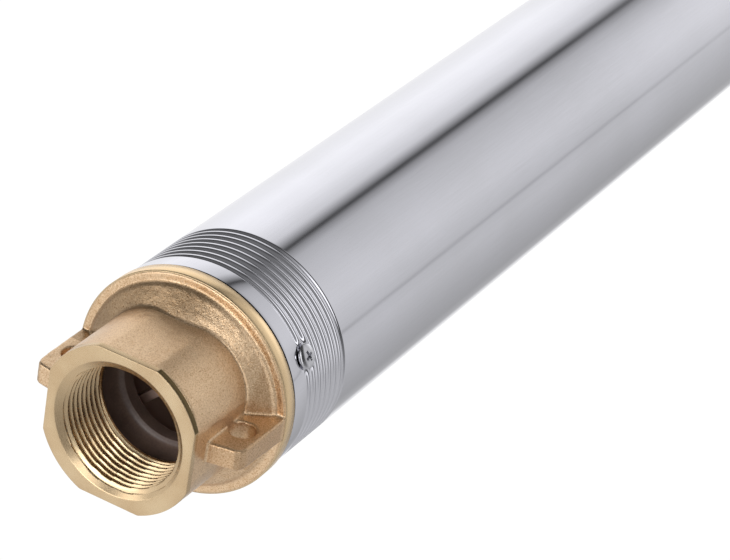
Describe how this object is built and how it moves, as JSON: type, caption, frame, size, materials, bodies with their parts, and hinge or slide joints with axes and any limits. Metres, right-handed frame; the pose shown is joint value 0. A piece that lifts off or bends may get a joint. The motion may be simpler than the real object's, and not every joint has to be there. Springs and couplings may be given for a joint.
{
  "type": "submersible borehole pump",
  "caption": "Slim multistage borehole pump: brass threaded outlet with rope ears, polished steel tube, suction strainer and canned motor.",
  "frame": {"origin": "centre of the flat base of the motor's end cap, on the pump's axis", "axes": "+Z along the pump's axis from the motor to the outlet, X through the two rope ears"},
  "size_m": [0.0731, 0.073, 0.903],
  "materials": {
    "cast_brass": "sand-cast brass with turned faces",
    "polished_steel": "polished stainless tube",
    "machined_steel": "machined stainless casting",
    "steel_hardware": "stainless fasteners",
    "strainer_steel": "perforated stainless sheet",
    "shaft_steel": "ground stainless bar",
    "black_plastic": "moulded black plastic",
    "impeller_plastic": "moulded dark technopolymer",
    "diffuser_plastic": "moulded pale technopolymer",
    "black_rubber": "moulded black rubber",
    "carbon_graphite": "resin-bonded carbon",
    "white_ceramic": "polished ceramic",
    "stator_iron": "stacked iron sheets",
    "winding_copper": "enamelled copper wire in varnish"
  },
  "bodies": {
    "casing": {"discharge_head": "cast_brass", "valve_seat": "cast_brass", "cable_gland": "cast_brass", "pump_sleeve": "polished_steel", "motor_shell": "polished_steel", "suction_bracket": "machined_steel", "motor_top_bracket": "machined_steel", "end_cap": "machined_steel", "lower_bracket": "machined_steel", "thrust_plate": "machined_steel", "sleeve_locking_screws": "steel_hardware", "strainer_screws": "steel_hardware", "flange_studs": "steel_hardware", "flange_nuts": "steel_hardware", "retaining_ring": "steel_hardware", "valve_spring": "steel_hardware", "suction_strainer": "strainer_steel", "valve_cage": "black_plastic", "top_bearing_housing": "black_plastic", "diffuser_01": "diffuser_plastic", "diffuser_02": "diffuser_plastic", "diffuser_03": "diffuser_plastic", "diffuser_04": "diffuser_plastic", "diffuser_05": "diffuser_plastic", "diffuser_06": "diffuser_plastic", "diffuser_07": "diffuser_plastic", "diffuser_08": "diffuser_plastic", "diffuser_09": "diffuser_plastic", "diffuser_10": "diffuser_plastic", "o_rings": "black_rubber", "top_bearing_bush": "black_rubber", "gland_bush": "black_rubber", "diaphragm": "black_rubber", "upper_journal_bush": "carbon_graphite", "lower_journal_bush": "carbon_graphite", "shaft_seal_seat": "white_ceramic", "stator_core": "stator_iron", "thrust_pads": "stator_iron", "stator_windings": "winding_copper"},
    "rotating_line": {"pump_shaft": "shaft_steel", "shaft_sleeve": "shaft_steel", "shaft_nut": "steel_hardware", "shaft_coupling": "shaft_steel", "sand_guard": "black_rubber", "shaft_seal_head": "carbon_graphite", "rotor_core": "stator_iron", "motor_shaft": "shaft_steel", "thrust_disc": "carbon_graphite", "impeller_01": "impeller_plastic", "impeller_02": "impeller_plastic", "impeller_03": "impeller_plastic", "impeller_04": "impeller_plastic", "impeller_05": "impeller_plastic", "impeller_06": "impeller_plastic", "impeller_07": "impeller_plastic", "impeller_08": "impeller_plastic", "impeller_09": "impeller_plastic", "impeller_10": "impeller_plastic"},
    "check_valve_poppet": {"valve_poppet": "black_plastic", "valve_seal": "black_rubber"}
  },
  "joints": [
    {"name": "rotor_spin", "type": "hinge", "parent": "casing", "child": "rotating_line", "pos_m": [0, 0, 0.406], "axis": [0, 0, 1], "continuous": true},
    {"name": "poppet_lift", "type": "slide", "parent": "casing", "child": "check_valve_poppet", "axis": [0, 0, 1], "range_m": [0, 0.008], "stiffness_N_per_m": 250, "springref_m": -0.004, "deforming": ["valve_spring"]}
  ]
}
